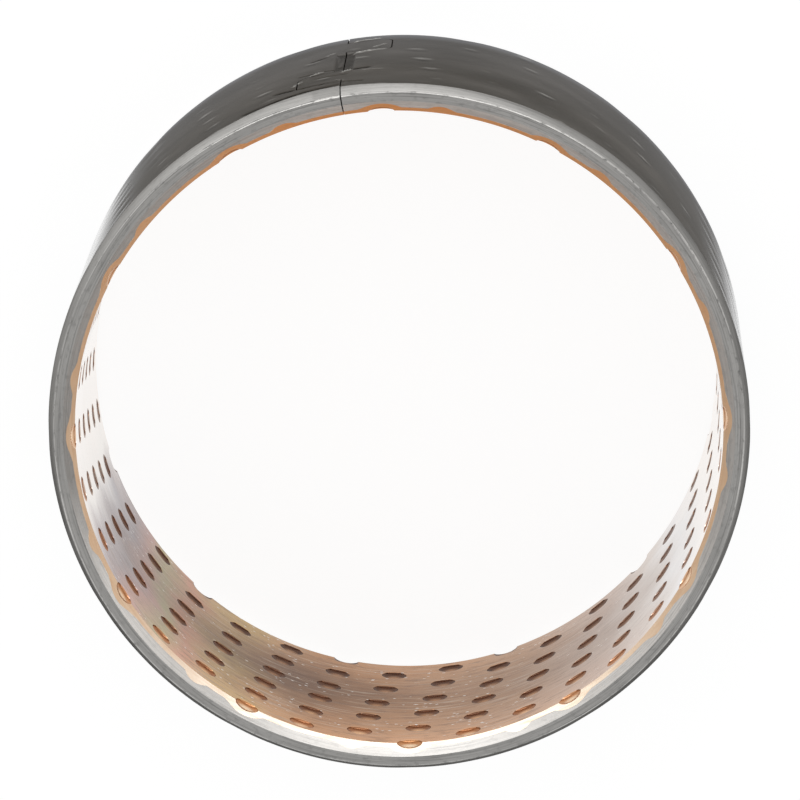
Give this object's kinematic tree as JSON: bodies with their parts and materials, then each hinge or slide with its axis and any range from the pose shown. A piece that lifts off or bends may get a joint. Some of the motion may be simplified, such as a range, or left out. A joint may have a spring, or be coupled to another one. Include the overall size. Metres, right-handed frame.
{
  "type": "split bushing",
  "caption": "Rolled split bushing: a steel-backed ring with a pocketed bronze bore, closed by a clinched seam, pressed into a housing as a plain bearing for a turning shaft",
  "frame": {"origin": "centre of the lower end face, on the bore's axis", "axes": "+Z along the bore, up; the seam runs down the wall 9.3 degrees anticlockwise of +Y seen from above"},
  "size_m": [0.065, 0.065, 0.03],
  "materials": {
    "steel_back": "dark rolled steel with bright chamfered ends",
    "bronze_lining": "smooth copper-brown bronze with rolled pockets"
  },
  "bodies": {
    "root": {"steel_back": "steel_back", "bronze_lining": "bronze_lining"}
  },
  "joints": []
}
